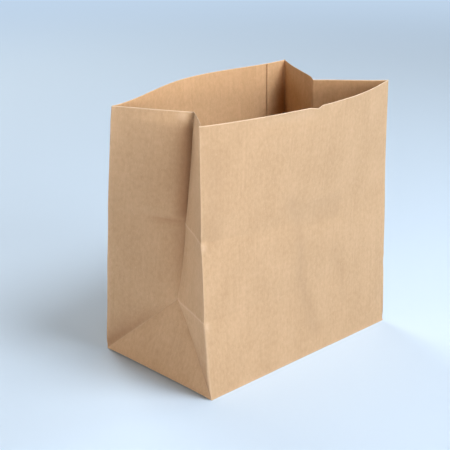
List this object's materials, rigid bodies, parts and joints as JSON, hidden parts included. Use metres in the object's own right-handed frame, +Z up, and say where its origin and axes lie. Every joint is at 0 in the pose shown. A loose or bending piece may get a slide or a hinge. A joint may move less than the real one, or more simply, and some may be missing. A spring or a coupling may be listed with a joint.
{
  "type": "paper bag",
  "caption": "Open block-bottom kraft paper bag without handles, folded from one gusseted tube, with a lap seam and pressed creases.",
  "frame": {"origin": "middle of the base, on the surface the bag stands on", "axes": "+X along the wide panels, -Y the front panel, +Y the back panel with the lap seam, +Z up"},
  "size_m": [0.285, 0.1827, 0.2899],
  "materials": {
    "kraft": "uncoated brown kraft, matt, slightly ribbed and fibrous"
  },
  "bodies": {
    "root": {"folded_bag": "kraft"}
  },
  "joints": []
}
